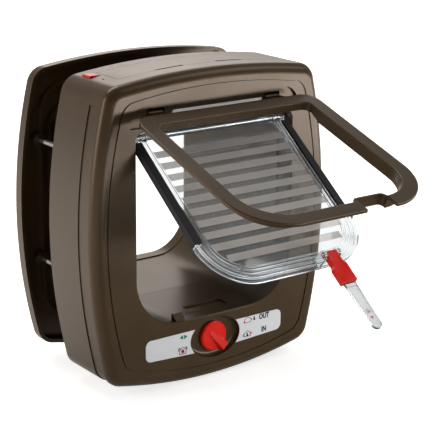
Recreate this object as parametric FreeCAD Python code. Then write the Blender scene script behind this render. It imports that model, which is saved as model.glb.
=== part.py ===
import FreeCAD, Part
import math
import os

# Cat flap with a chip reader: an indoor housing and an outdoor frame that clamp a door
# between them, a clear two-way flap, a draught frame hinged in front of it, a presence
# pointer on the flap and a four-way selector knob under the opening.
# Millimetres. +Z up, the indoor side faces -Y, the outdoor side +Y. The origin is the
# middle of the opening, in the plane where the housing's back meets the door.

# ---- housing outline (a rectangle whose four sides bow outward) ----
beside_opening = 38.1      # housing on each side of the opening
above_opening = 42.0
below_opening = 53.4
side_bow = 15.5
top_bow = 7.6
bottom_bow = 12.0
corner_radius = 15.5
housing_depth = 64.4       # front face to the plane of the door
wall = 2.5
back_wall = 3.0

# ---- front cover ----
cover_edge = 9.6           # depth of the cover's skirt
cover_round = 8.4
cover_wall = 3.0
cover_lip = 3.0            # tongue of the cover inside the shell
panel_inset = 12.0         # groove round the flat front panel
groove_width = 1.1
groove_depth = 0.9
fit_gap = 0.3              # between pieces that are put together

# ---- opening and tunnel ----
opening_width = 148.8
opening_height = 156.6
opening_low_radius = 41.0
opening_top_radius = 7.0
opening_edge = 0.8         # chamfer round its front edge
tunnel_wall = 2.5
seal_groove_from = 9.6     # groove for the flap's edges in the tunnel's side walls
seal_groove_to = 19.0
seal_groove_depth = 1.2

# ---- shell details ----
band_end = 22.6            # a shallow band behind the cover runs to here
band_depth = 0.7
band_top = 99.0

# ---- recess, hinge pockets and sensor window above the opening ----
recess_side = 5.1          # beyond the side of the opening
recess_low = 3.0           # above the top of the opening
recess_corner_z = 19.0
recess_bow = 3.2
recess_radius = 14.0
recess_depth = 2.5
recess_floor = 3.0
pocket_from = 11.5         # inside the side of the opening
pocket_to = 26.6
pocket_high = 16.4         # above the top of the opening
sensor_left_gap = 5.8      # to the hinge pocket
sensor_right_gap = 2.8
sensor_slant = 2.5         # its left end leans
sensor_low = 9.0
sensor_height = 4.4
sensor_thickness = 1.8
cheek_width = 3.4
cheek_depth = 4.2

# ---- selector ----
knob_drop = 19.4           # below the sill
dish_half_width = 24.0
dish_half_height = 17.0
dish_depth = 4.6
dish_wall = 2.4
knob_radius = 12.3
knob_front = 0.9           # behind the panel's face
knob_ridge_front = -2.6
knob_ridge_start = 6.5     # behind the middle
knob_ridge_width = 10.4    # at the rim
knob_ridge_over = 0.8      # beyond the rim
knob_angle = -48.0         # the ridge points at the lower right position
shaft_radius = 4.0
shaft_end = 26.0
cam_radius = 6.4
cam_throw = 1.6
cam_width = 7.0
running_gap = 0.05

# ---- labels ----
label_gap = 0.5            # outside the dish
label_end = 67.0
label_drop = 9.4           # below the sill
label_inner_height = 20.4
label_outer_height = 17.4
label_radius = 5.0
label_thickness = 0.35

# ---- flap ----
flap_axis_y = 11.0         # behind the front face
flap_axis_drop = 6.6       # below the top of the opening
flap_foot_gap = 6.0        # lower edge above the sill
flap_side_gap = 0.6        # to each side of the opening
flap_low_radius = 40.0
flap_sheet = 2.0
flap_rim = 4.8
flap_rim_width = 2.4
flap_ribs = (4.4, 8.0, 11.2)   # inset of each inner rib
flap_rib_width = 1.3
flap_rib = 4.0
sleeve_radius = 3.5
knuckle_radius = 5.0
knuckle_width = 11.0
knuckle_ribs = 3
knuckle_inset = 2.6        # from the flap's edge, clear of the opening's rounded corner
rod_radius = 1.8
rod_boss_radius = 5.0
rod_boss_depth = 3.4
seal_width = 6.4
seal_from = 7.0            # along the flap, from the axis
seal_thickness = 6.2
flap_rest = 53.0           # degrees, swung indoors

# ---- pointer on the flap ----
pointer_x = 21.0
pivot_forward = 13.9       # pivot in front of the flap's middle plane
pivot_rise = 1.5           # above the flap's lower edge
lug_width = 2.5
lug_radius = 3.4
neck_width = 10.0
neck_length = 11.0
block_width = 13.6
block_length = 27.0        # pivot to the block's lower end
block_thickness = 5.0
tongue_width = 10.4
tongue_tip_width = 9.0
tongue_length = 68.5       # pivot to tip
tongue_socket = 5.0
tongue_thickness = 2.0
tongue_border = 1.1
pin_radius = 1.1

# ---- draught frame ----
frame_axis_y = 5.0
frame_axis_up = 11.7       # above the top of the opening
frame_top_drop = 2.0       # its closed upper edge below the top of the opening
frame_side = 10.1          # beyond the side of the opening
frame_foot = 2.0           # below the sill
frame_low_radius = 42.5
frame_top_radius = 14.0
frame_front = -3.0
frame_flange = 2.6
frame_edge = 0.9           # rounding of its front edges
frame_window_side = 1.9    # window inside the sides of the opening
frame_window_radius = 32.0
frame_window_top_radius = 6.0
frame_top_bar = 12.2
frame_bottom_bar = 11.9
frame_wall = 1.5
frame_wall_to = 7.4
frame_top_wall_to = 4.0
notch_left = 12.5
notch_right = 40.5
bridge_rise = 5.4
bridge_radius = 4.8
bridge_front = -1.6
arm_width = 12.6
arm_thickness = 3.0
barrel_radius = 3.2
hinge_pin_radius = 1.6
catch_window = 1.5         # side room for the catch in the frame's wall
frame_rest = 71.4          # degrees, lifted

# ---- catches in the sill ----
near_catch_inset = 0.6     # of its middle from the end of the sill's flat part
near_catch_width = 8.6
near_catch_from = 1.6
near_catch_to = 8.2
near_catch_rise = 5.5      # above the sill at rest
near_catch_foot = 1.2      # wider than the catch on each side
near_catch_travel = 6.0
far_catch_from_x = -14.0
far_catch_to_x = 22.0
far_catch_from = 14.3
far_catch_to = 25.7
far_catch_rise = -0.6      # stored just under the sill
catch_tail = 10.8          # below the sill
slot_gap = 0.3

# ---- top: battery lid, cells, button, lamp ----
lid_left_margin = 37.0     # to the housing's side
lid_right_margin = 35.5
lid_from = 21.5
lid_to = 52.0
lid_gap = 0.35
lid_ledge = 2.0
lid_thickness = 1.9
lid_notches = (-29.0, 27.0)
lid_notch_width = 25.0
cell_radius = 7.1
cell_length = 49.5
cell_rows = 2
cells_in_row = 2
cell_gap = 0.8
tray_wall = 1.6
contact_length = 4.0
contact_wire = 0.6
contact_radius = 3.2
contact_turns = 3
button_margin = 29.9       # from the housing's left side
button_y = 48.5
button_width = 9.6
button_depth = 11.5
button_proud = 0.9
button_flange = 1.2
button_skirt = 8.0
button_gap = 0.25
lamp_margin = 29.0
lamp_y = 31.5
lamp_radius = 1.6
lamp_length = 6.0
board_width = 34.0
board_depth = 34.0
board_thickness = 1.6
board_gap = 1.0            # under the cells' tray
board_rail = 2.0
switch_size = 6.0
switch_height = 3.5
plunger_radius = 1.7

# ---- reader coil round the tunnel ----
coil_from = 28.0
coil_to = 38.0
coil_thickness = 3.0

# ---- outdoor frame ----
door_gap = 48.1
outer_inset = 2.4          # smaller than the housing all round
outer_thickness = 10.2
outer_round = 2.2
outer_wall = 2.6
outer_end = 26.5           # tunnel beyond the outdoor face
floor_rise = 3.2           # the tunnel's floor climbs through the housing
outer_floor_rise = 1.6     # and through the outdoor frame
outer_lip_length = 11.0
outer_lip_rise = 0.8       # at the floor
outer_lip_step = 0.1       # all round
outer_lip_chamfer = 0.8
rib_side = 15.6            # round the opening
rib_rise = 19.7
rib_radius = 24.0
rib_width = 1.8
rib_drop = 2.4
collar_gap = 2.6
collar_width = 1.6
collar_radius = 24.0
flange_thickness = 2.0
tunnel_seat = 0.15         # round the tunnel where it passes the frame
tunnel_step = 1.2          # step in the housing's back that takes the tunnel's end

# ---- long screws ----
screw_side = 17.1          # beyond the side of the opening
screw_z = (53.8, -45.1)
screw_radius = 1.8
screw_head_radius = 4.2
screw_head = 3.0
screw_from = 38.0          # under the head, behind the front face
screw_grip = 7.0           # in the boss of the outdoor frame
boss_radius = 5.2
boss_rise = 6.0
post_radius = 5.6

V = FreeCAD.Vector


def exact(size):
    """A size worked out from others, without the last digits' noise."""
    return round(size, 6)


front = -housing_depth
top_of_opening = opening_height / 2.0
sill = -opening_height / 2.0
half_opening = opening_width / 2.0
body_width = exact(opening_width + 2 * beside_opening)
body_height = exact(opening_height + above_opening + below_opening)
body_drop = exact((below_opening - above_opening) / 2.0)
recess_half = exact(half_opening + recess_side)
pocket_inner = exact(half_opening - pocket_to)
pocket_outer = exact(half_opening - pocket_from)
sensor_left = exact(sensor_left_gap - pocket_inner)
sensor_right = exact(pocket_inner - sensor_right_gap)
knob_z = exact(sill - knob_drop)
label_top = exact(sill - label_drop)
flap_width = exact(opening_width - 2 * flap_side_gap)
flap_length = exact(opening_height - flap_axis_drop - flap_foot_gap)
seal_to = exact(flap_length - flap_low_radius)
pivot_down = exact(flap_length - pivot_rise)
frame_width = exact(opening_width + 2 * frame_side)
frame_length = exact(opening_height - frame_top_drop + frame_foot)
frame_window_width = exact(opening_width - 2 * frame_window_side)
lid_left = exact(lid_left_margin - body_width / 2.0)
lid_right = exact(body_width / 2.0 - lid_right_margin)
button_x = exact(button_margin - body_width / 2.0)
lamp_x = exact(lamp_margin - body_width / 2.0)
rib_half_width = exact(half_opening + rib_side)
rib_half_height = exact(opening_height / 2.0 + rib_rise)
screw_x = exact(half_opening + screw_side)
near_catch_x = exact(near_catch_inset + opening_low_radius - half_opening)
flap_axis = V(0, front + flap_axis_y, top_of_opening - flap_axis_drop)
frame_axis = V(0, front + frame_axis_y, top_of_opening + frame_axis_up)
outer_near = door_gap
outer_far = door_gap + outer_thickness
tunnel_end = outer_far + outer_end
far = 400.0                # longer than anything that is cut


def box(x0, x1, y0, y1, z0, z1):
    return Part.makeBox(x1 - x0, y1 - y0, z1 - z0, V(x0, y0, z0))


def rod_x(radius, x0, x1, y, z):
    return Part.makeCylinder(radius, x1 - x0, V(x0, y, z), V(1, 0, 0))


def rod_y(radius, y0, y1, x, z):
    return Part.makeCylinder(radius, y1 - y0, V(x, y0, z), V(0, 1, 0))


def rod_z(radius, z0, z1, x, y):
    return Part.makeCylinder(radius, z1 - z0, V(x, y, z0), V(0, 0, 1))


def one(shape):
    """A clean single solid."""
    shape = shape.removeSplitter()
    return shape.Solids[0] if len(shape.Solids) == 1 else shape


def along_y(edge):
    curve = edge.Curve
    return isinstance(curve, Part.Line) and abs(curve.Direction.y) > 0.999


def round_y_edges(shape, radius, keep=None):
    edges = [e for e in shape.Edges if along_y(e) and (keep is None or keep(e.CenterOfMass))]
    return shape.makeFillet(radius, edges)


def plate(points, y0, y1):
    """A flat outline of (x, z) points, pushed from y0 to y1."""
    ring = [V(x, y0, z) for x, z in points]
    face = Part.Face(Part.makePolygon(ring + ring[:1]))
    return face.extrude(V(0, y1 - y0, 0))


def side_plate(points, x0, x1):
    """A flat outline of (y, z) points, pushed from x0 to x1."""
    ring = [V(x0, y, z) for y, z in points]
    face = Part.Face(Part.makePolygon(ring + ring[:1]))
    return face.extrude(V(x1 - x0, 0, 0))


def bowed(inset, y0, y1, radius):
    """The housing's outline, smaller by inset all round, from y0 to y1."""
    half_w = body_width / 2.0 - inset
    half_h = body_height / 2.0 - inset
    x = half_w - side_bow
    z_top = half_h - top_bow - body_drop
    z_low = -half_h + bottom_bow - body_drop
    corners = [V(-x, y0, z_low), V(x, y0, z_low), V(x, y0, z_top), V(-x, y0, z_top)]
    middles = [V(0, y0, -half_h - body_drop), V(half_w, y0, -body_drop),
               V(0, y0, half_h - body_drop), V(-half_w, y0, -body_drop)]
    edges = [Part.Arc(corners[i], middles[i], corners[(i + 1) % 4]).toShape() for i in range(4)]
    solid = Part.Face(Part.Wire(edges)).extrude(V(0, y1 - y0, 0))
    return round_y_edges(solid, radius)


def portal(half, top, bottom, low_radius, top_radius, y0, y1):
    """An upright opening with large lower corners."""
    solid = box(-half, half, y0, y1, bottom, top)
    middle = (top + bottom) / 2.0
    solid = round_y_edges(solid, low_radius, lambda c: c.z < middle)
    sharp = [e for e in solid.Edges if along_y(e) and e.CenterOfMass.z > top - 0.01]
    return solid.makeFillet(top_radius, sharp)


def opening(grow, y0, y1):
    return portal(half_opening + grow, top_of_opening + grow, sill - grow,
                  opening_low_radius + grow, opening_top_radius + grow, y0, y1)


def tunnel(grow, y0, y1, rise0, rise1):
    """The opening carried on with its floor climbing from rise0 to rise1."""
    ends = []
    for y, rise in ((y0, rise0), (y1, rise1)):
        slab = portal(half_opening + grow, top_of_opening + grow, sill + rise - grow,
                      opening_low_radius - rise + grow, opening_top_radius + grow, y, y + 1)
        face = [f for f in slab.Faces if abs(f.BoundBox.YMax - y) < 1e-3][0]
        ends.append(face.OuterWire)
    return Part.makeLoft(ends, True, True)


def shell_tunnel(grow, y0, y1):
    """The part of the tunnel between two depths of the housing."""
    start = front + cover_edge
    return tunnel(grow, y0, y1, floor_rise * max(y0 - start, 0) / -start, floor_rise * (y1 - start) / -start)


def outer_rise(y):
    return floor_rise + outer_floor_rise * y / tunnel_end


def outer_tunnel(grow, y1):
    return tunnel(grow, -tunnel_step, y1, floor_rise, outer_rise(y1))


def swing(shape, axis, degrees):
    """Turned indoors and up about a line along X."""
    turned = shape.copy()
    turned.rotate(axis, V(-1, 0, 0), degrees)
    return turned


def both_sides(solid):
    return [solid, solid.mirror(V(0, 0, 0), V(1, 0, 0))]


def screw_places():
    return [(side * screw_x, z) for z in screw_z for side in (-1, 1)]


def ellipse_y(half_w, half_h, z, y0, y1):
    """An elliptical disc that faces the room."""
    curve = Part.Ellipse(V(half_w, y0, z), V(0, y0, z + half_h), V(0, y0, z))
    return Part.Face(Part.Wire(curve.toShape())).extrude(V(0, y1 - y0, 0))


# ---- front cover ----
def make_front_cover():
    back = front + cover_edge
    outside = bowed(0, front, back, corner_radius)
    front_edges = [e for e in outside.Edges if abs(e.BoundBox.YMax - front) < 1e-3]
    outside = outside.makeFillet(cover_round, front_edges)
    inside = bowed(wall, front + cover_wall, back, corner_radius - wall)
    inner_edges = [e for e in inside.Edges if abs(e.BoundBox.YMax - front - cover_wall) < 1e-3]
    inside = inside.makeFillet(cover_round - wall, inner_edges)
    cover = outside.cut(inside)
    lip = bowed(wall + fit_gap, back - 1.0, back + cover_lip, corner_radius - wall - fit_gap)
    lip = lip.cut(bowed(2 * wall, back - 1.0, back + cover_lip, corner_radius - 2 * wall))
    web = bowed(wall - 0.5, back - 1.0, back, corner_radius - wall + 0.5)
    web = web.cut(bowed(2 * wall, back - 1.0, back, corner_radius - 2 * wall))
    throat = opening(tunnel_wall, front + cover_wall - 0.5, back)
    pad = recess_outline(2.0, front + cover_wall - 0.5, front + recess_depth + recess_floor)
    dish = ellipse_y(dish_half_width + dish_wall, dish_half_height + dish_wall, knob_z,
                     front + cover_wall - 0.5, front + dish_depth + dish_wall)
    bush = rod_y(shaft_radius + 2.4, front + dish_depth, front + dish_depth + 6.0, 0, knob_z)
    cover = cover.fuse([lip, web, throat, pad, dish, bush] + hinge_cheeks())
    low, high = top_of_opening - 1, top_of_opening + pocket_high
    flare = opening(opening_edge, front - 1, front + opening_edge)
    flare = flare.makeChamfer(opening_edge - 0.01, [e for e in flare.Edges
                                                    if abs(e.BoundBox.YMin - front - opening_edge) < 1e-3])
    cuts = [opening(0, front - 1, back + cover_lip + 1), flare, panel_groove(), recess_cut(), sensor_slot(0),
            dish_cut(), rod_y(shaft_radius + running_gap, front, front + far, 0, knob_z),
            near_catch_slot()]
    cuts += both_sides(box(pocket_inner, pocket_outer, front - 1, front + recess_depth + recess_floor + 1,
                           low, high))
    cuts.append(rod_x(rod_radius + running_gap, -far / 2, far / 2, flap_axis.y, flap_axis.z))
    cuts += both_sides(rod_x(hinge_pin_radius + running_gap, pocket_inner - 2.4, pocket_outer + 2.6,
                             frame_axis.y, frame_axis.z))
    return one(cover.cut(cuts))


def panel_groove():
    edge = bowed(panel_inset - groove_width / 2, front - 1, front + groove_depth, corner_radius)
    return edge.cut(bowed(panel_inset + groove_width / 2, front - 1, front + groove_depth,
                          corner_radius - groove_width))


def recess_outline(grow, y0, y1):
    low = top_of_opening + recess_low - grow
    high = top_of_opening + recess_corner_z + grow
    half = recess_half + grow
    arch = Part.Arc(V(half, y0, high), V(0, y0, high + recess_bow), V(-half, y0, high)).toShape()
    sides = Part.makePolygon([V(-half, y0, high), V(-half, y0, low), V(half, y0, low), V(half, y0, high)])
    solid = Part.Face(Part.Wire(sides.Edges + [arch])).extrude(V(0, y1 - y0, 0))
    return round_y_edges(solid, recess_radius, lambda c: c.z > high - 0.01)


def recess_cut():
    return recess_outline(0, front - 1, front + recess_depth)


def sensor_slot(inset):
    low = top_of_opening + sensor_low + inset
    high = top_of_opening + sensor_low + sensor_height - inset
    left, right = sensor_left + inset, sensor_right - inset
    return plate([(left, low), (left + sensor_slant, high), (right, high), (right, low)],
                 front + recess_depth - (0 if inset else 1), front + recess_depth + sensor_thickness)


def hinge_cheeks():
    back = front + recess_depth + recess_floor
    low = frame_axis.z - 4.6
    cheeks = []
    for x in (pocket_inner - cheek_width, pocket_outer):
        cheeks += both_sides(box(x, x + cheek_width, back - 0.5, back + cheek_depth, low, low + 9.2))
    return cheeks


def dish_cut():
    bowl = ellipse_y(dish_half_width, dish_half_height, knob_z, front - 1, front + dish_depth)
    floor = [e for e in bowl.Edges if abs(e.BoundBox.YMin - front - dish_depth) < 1e-3]
    return bowl.makeFillet(3.0, floor)


def near_catch_slot():
    half = near_catch_width / 2.0 + slot_gap
    y0, y1 = front + near_catch_from - slot_gap, front + near_catch_to + slot_gap
    slot = box(near_catch_x - half, near_catch_x + half, y0, y1, sill - far / 2, sill + 1)
    half += near_catch_foot
    slot = slot.fuse(box(near_catch_x - half, near_catch_x + half, y0, y1,
                         sill - far / 2, sill - catch_tail + 4.0))
    lowest = sill - catch_tail - 2.0 - near_catch_travel - slot_gap
    return slot.common(box(-far, far, y0, y1, lowest, sill + 1))


# ---- shell ----
def make_shell():
    y0 = front + cover_edge
    shell = bowed(0, y0, 0, corner_radius).cut(bowed(wall, y0, -back_wall, corner_radius - wall))
    band = bowed(-1, y0 - 1, front + band_end, corner_radius + 1)
    band = band.cut(bowed(band_depth, y0 - 1, front + band_end, corner_radius - band_depth))
    band = band.common(box(-far, far, -far, far, -far, band_top))
    skin_only = bowed(-1, y0, 0, corner_radius).cut(under_top(wall, y0, 0))
    shell = shell.cut([band, lid_block(lid_gap).common(skin_only)])
    inner = bowed(wall, y0, 0, corner_radius - wall)
    adds = [shell_tunnel(tunnel_wall, y0, 0), tray_block().common(inner)]
    for x, z in screw_places():
        adds.append(rod_y(post_radius, front + screw_from, -1, x, z))
    for side in (-1, 1):
        reach = half_opening + tunnel_wall - 0.5
        boss = rod_x(rod_boss_radius, reach, half_opening + tunnel_wall + rod_boss_depth,
                     flap_axis.y, flap_axis.z)
        boss = boss.cut(box(reach - 1, far / 2, -far, y0, -far, far))
        adds += [boss] if side > 0 else [boss.mirror(V(0, 0, 0), V(1, 0, 0))]
    adds += lid_ledges() + [board_shelf()]
    shell = shell.fuse(adds)
    cuts = [shell_tunnel(0, y0, 0), tray_space(), far_catch_slot(),
            tunnel(tunnel_wall + tunnel_seat, -tunnel_step, 1, floor_rise, floor_rise),
            rod_x(rod_radius + running_gap, -half_opening - tunnel_wall - rod_boss_depth + 1,
                  half_opening + tunnel_wall + rod_boss_depth - 1, flap_axis.y, flap_axis.z),
            button_hole(), rod_z(lamp_radius + 0.05, 0, far, lamp_x, front + lamp_y)]
    cuts += both_sides(box(half_opening - 1, half_opening + seal_groove_depth,
                           front + seal_groove_from, front + seal_groove_to,
                           sill + opening_low_radius, top_of_opening - opening_top_radius))
    for x, z in screw_places():
        cuts.append(rod_y(screw_radius + running_gap, front, 1, x, z))
    return one(shell.cut(cuts))


def top_height(x, inset=0.0):
    """Height of the arched top above x, for the outline smaller by inset."""
    half = body_width / 2.0 - inset - side_bow
    radius = (half ** 2 + top_bow ** 2) / (2 * top_bow)
    crown = body_height / 2.0 - inset - body_drop
    return crown - radius + math.sqrt(radius ** 2 - x ** 2)


def lid_block(grow):
    """The lid's outline in plan, through the top of the shell."""
    return box(lid_left - grow, lid_right + grow, front + lid_from - grow, front + lid_to + grow,
               top_height(lid_left) - 12.0, far)


def under_top(inset, y0, y1):
    return bowed(inset, y0, y1, corner_radius - inset)


def lid_ledges():
    y0, y1 = front + lid_from, front + lid_to
    band = under_top(wall - 0.3, y0 - 3, y1 + 3).cut(under_top(wall + lid_ledge, y0 - 3, y1 + 3))
    frame = box(lid_left - 3, lid_right + 3, y0 - 3, y1 + 3, 0, far)
    frame = frame.cut(box(lid_left + lid_ledge, lid_right - lid_ledge, y0 + lid_ledge,
                          y1 - lid_ledge, -1, far + 1))
    return [band.common(frame)]


def cells_span():
    length = cells_in_row * cell_length + (cells_in_row + 1) * contact_length
    depth = cell_rows * 2 * cell_radius + (cell_rows + 1) * cell_gap
    middle_x = (lid_left + lid_right) / 2.0
    middle_y = front + (lid_from + lid_to) / 2.0
    return middle_x - length / 2, middle_x + length / 2, middle_y - depth / 2, middle_y + depth / 2


def tray_floor():
    x0, x1, y0, y1 = cells_span()
    return min(top_height(x0), top_height(x1)) - wall - lid_ledge - 2 * cell_radius - 1.0


def tray_block():
    x0, x1, y0, y1 = cells_span()
    floor = tray_floor()
    return box(x0 - tray_wall, x1 + tray_wall, y0 - tray_wall, y1 + tray_wall, floor - tray_wall, far)


def tray_space():
    x0, x1, y0, y1 = cells_span()
    return box(x0, x1, y0, y1, tray_floor(), far)


def button_hole():
    top = top_height(button_x)
    grow = button_gap
    return box(button_x - button_width / 2 - grow, button_x + button_width / 2 + grow,
               front + button_y - button_depth / 2 - grow, front + button_y + button_depth / 2 + grow,
               top - 8, far)


def board_top():
    return tray_floor() - tray_wall - board_gap


def board_shelf():
    """Two rails in the shell that carry the circuit board."""
    y_mid = front + (button_y + lamp_y) / 2.0
    rails = []
    inner = bowed(wall / 2, front + cover_edge, 0, corner_radius - wall / 2)
    for y in (y_mid - board_depth / 2, y_mid + board_depth / 2 - 3.0):
        rails.append(box(-body_width / 2, button_x + board_width / 2, y, y + 3.0,
                         board_top() - board_thickness - board_rail, board_top() - board_thickness))
    beam = box(button_x + board_width / 2 - 2.4, button_x + board_width / 2,
               y_mid - board_depth / 2, -back_wall / 2,
               board_top() - board_thickness - board_rail, board_top() - board_thickness)
    return rails[0].fuse([rails[1], beam]).common(inner)


def far_catch_slot():
    return box(far_catch_from_x - slot_gap, far_catch_to_x + slot_gap,
               front + far_catch_from - slot_gap, front + far_catch_to + slot_gap,
               sill - tunnel_wall - 2, sill + 1)


# ---- pieces of the top ----
def make_lid():
    skin = under_top(0, front + lid_from, front + lid_to)
    skin = skin.cut(under_top(lid_thickness, front + lid_from - 1, front + lid_to + 1))
    lid = skin.common(lid_block(0))
    for x in lid_notches:
        z = top_height(x)
        scoop = rod_x(2.6, x - lid_notch_width / 2, x + lid_notch_width / 2,
                      front + lid_from, z + 1.2)
        lid = lid.cut(scoop)
    return one(lid)


def cell_places():
    x0, x1, y0, y1 = cells_span()
    z = tray_floor() + cell_radius + 0.3
    places = []
    for row in range(cell_rows):
        y = y0 + cell_gap + cell_radius + row * (2 * cell_radius + cell_gap)
        for n in range(cells_in_row):
            x = x0 + contact_length + n * (cell_length + contact_length)
            places.append((x, y, z, 1 if row % 2 == 0 else -1))
    return places


def make_cell(x, y, z, way):
    nipple = 1.2
    body = rod_x(cell_radius, x, x + cell_length - nipple, y, z)
    body = body.fuse(rod_x(2.6, x + cell_length - nipple - 0.1, x + cell_length, y, z))
    if way < 0:
        body.rotate(V(x + cell_length / 2, y, z), V(0, 0, 1), 180)
    return one(body)


def make_contact(x, y, z, way):
    """A coiled contact between the tray's end wall and the flat end of a cell."""
    helix = Part.makeHelix((contact_length - 1.6) / contact_turns, contact_length - 1.6, contact_radius)
    start = V(contact_radius, 0, 0)
    ring = Part.Wire(Part.Circle(start, V(0, 1, 0.12), contact_wire / 2).toShape())
    coil = Part.Wire(helix).makePipeShell([ring], True, True)
    foot = Part.makeCylinder(contact_radius + 0.6, 0.6, V(0, 0, -0.6))
    spring = foot.fuse(coil)
    spring.rotate(V(0, 0, 0), V(0, 1, 0), 90)
    if way < 0:
        spring.rotate(V(0, 0, 0), V(0, 0, 1), 180)
        spring.translate(V(x + cell_length + contact_length - 0.65, y, z))
    else:
        spring.translate(V(x - contact_length + 0.65, y, z))
    return spring


def make_button():
    top = top_height(button_x)
    cap = box(button_x - button_width / 2, button_x + button_width / 2,
              front + button_y - button_depth / 2, front + button_y + button_depth / 2,
              top - wall - button_flange, top + button_proud)
    cap = cap.makeFillet(0.9, [e for e in cap.Edges if e.CenterOfMass.z > top - wall])
    flange = box(button_x - button_width / 2 - 1.2, button_x + button_width / 2 + 1.2,
                 front + button_y - button_depth / 2 - 1.2, front + button_y + button_depth / 2 + 1.2,
                 top - wall - 2 * button_flange - 1.3, top - wall - button_flange - 1.3)
    neck = box(button_x - 3, button_x + 3, front + button_y - 3, front + button_y + 3,
               top - wall - button_flange - 1.4, top - wall - button_flange + 0.1)
    stem_low = board_top() + switch_height + 1.5 + 0.9
    stem = rod_z(1.8, stem_low, top - wall - 2 * button_flange - 1.2, button_x, front + button_y)
    return one(cap.fuse([flange, neck, stem]))


def make_board():
    y_mid = front + (button_y + lamp_y) / 2.0
    board = box(button_x - board_width / 2 + 6, button_x + board_width / 2,
                y_mid - board_depth / 2, y_mid + board_depth / 2, board_top() - board_thickness, board_top())
    return one(board)


def make_switch():
    half = switch_size / 2
    x, y, z = button_x, front + button_y, board_top()
    body = box(x - half, x + half, y - half, y + half, z, z + switch_height)
    return one(body.fuse(rod_z(plunger_radius, z + switch_height - 0.1, z + switch_height + 1.5, x, y)))


def make_lamp():
    top = top_height(lamp_x)
    lens = rod_z(lamp_radius, top - lamp_length, top - 0.2, lamp_x, front + lamp_y)
    legs = rod_z(0.5, board_top(), top - lamp_length + 0.1, lamp_x, front + lamp_y)
    return one(lens.fuse(legs))


def make_coil():
    y0, y1 = front + coil_from, front + coil_to
    ring = shell_tunnel(tunnel_wall + fit_gap + coil_thickness, y0, y1)
    return one(ring.cut(shell_tunnel(tunnel_wall + fit_gap, y0, y1)))


# ---- labels and selector ----
def make_label(side):
    start = 6.0
    points = [(start, label_top), (label_end, label_top), (label_end, label_top - label_outer_height),
              (start, label_top - label_inner_height)]
    label = plate([(side * x, z) for x, z in points], front - label_thickness, front)
    label = round_y_edges(label, label_radius, lambda c: abs(c.x) > label_end - 1)
    bowl = ellipse_y(dish_half_width + label_gap, dish_half_height + label_gap, knob_z,
                     front - 1, front + 1)
    return one(label.cut(bowl))


def make_knob():
    y_back = front + dish_depth - fit_gap
    disc = rod_y(knob_radius, front + knob_front, y_back, 0, knob_z)
    rim = [e for e in disc.Edges if abs(e.BoundBox.YMax - front - knob_front) < 1e-3]
    disc = disc.makeChamfer(1.0, rim)
    base = front + knob_front + 1.0
    rings = []
    wide = knob_ridge_width / 2
    for x, half, top, y in ((-knob_ridge_start, 0.68 * wide, 0.3 * wide, front + knob_front - 0.3),
                            (knob_radius + knob_ridge_over, wide, 0.6 * wide, front + knob_ridge_front)):
        ring = [V(x, base, -half), V(x, base, half), V(x, y, top), V(x, y, -top)]
        rings.append(Part.makePolygon(ring + ring[:1]))
    ridge = Part.makeLoft(rings, True, True)
    ridge.rotate(V(0, 0, 0), V(0, 1, 0), -knob_angle)
    ridge.translate(V(0, 0, knob_z))
    knob = disc.fuse(ridge)
    return one(knob)


def make_cam():
    y0 = front + dish_depth - fit_gap
    shaft = rod_y(shaft_radius, y0, front + shaft_end, 0, knob_z)
    turn = math.radians(knob_angle)
    cam = rod_y(cam_radius, front + shaft_end - cam_width, front + shaft_end,
                cam_throw * math.cos(turn), knob_z + cam_throw * math.sin(turn))
    return one(shaft.fuse(cam))


# ---- catches ----
def make_near_catch():
    x0, x1 = near_catch_x - near_catch_width / 2, near_catch_x + near_catch_width / 2
    y0, y1 = front + near_catch_from, front + near_catch_to
    top = sill + near_catch_rise
    ramp = near_catch_rise - 0.6
    points = [(y0, sill - catch_tail), (y1, sill - catch_tail), (y1, top), (y0 + ramp, top),
              (y0, top - ramp)]
    foot = box(x0 - near_catch_foot, x1 + near_catch_foot, y0, y1,
               sill - catch_tail - 2.0, sill - catch_tail + 0.1)
    return one(side_plate(points, x0, x1).fuse(foot))


def make_far_catch():
    y0, y1 = front + far_catch_from, front + far_catch_to
    bar = box(far_catch_from_x, far_catch_to_x, y0, y1, sill - catch_tail + 0.8, sill + far_catch_rise)
    bar = bar.makeFillet(0.5, [e for e in bar.Edges
                              if e.BoundBox.ZMin > sill + far_catch_rise - 0.01])
    return one(bar)


# ---- flap, modelled hanging closed ----
def flap_outline(inset, y0, y1):
    z = flap_axis.z
    return portal(flap_width / 2 - inset, z - 2.0, z - flap_length + inset, flap_low_radius - inset,
                  1.0, y0, y1)


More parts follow.
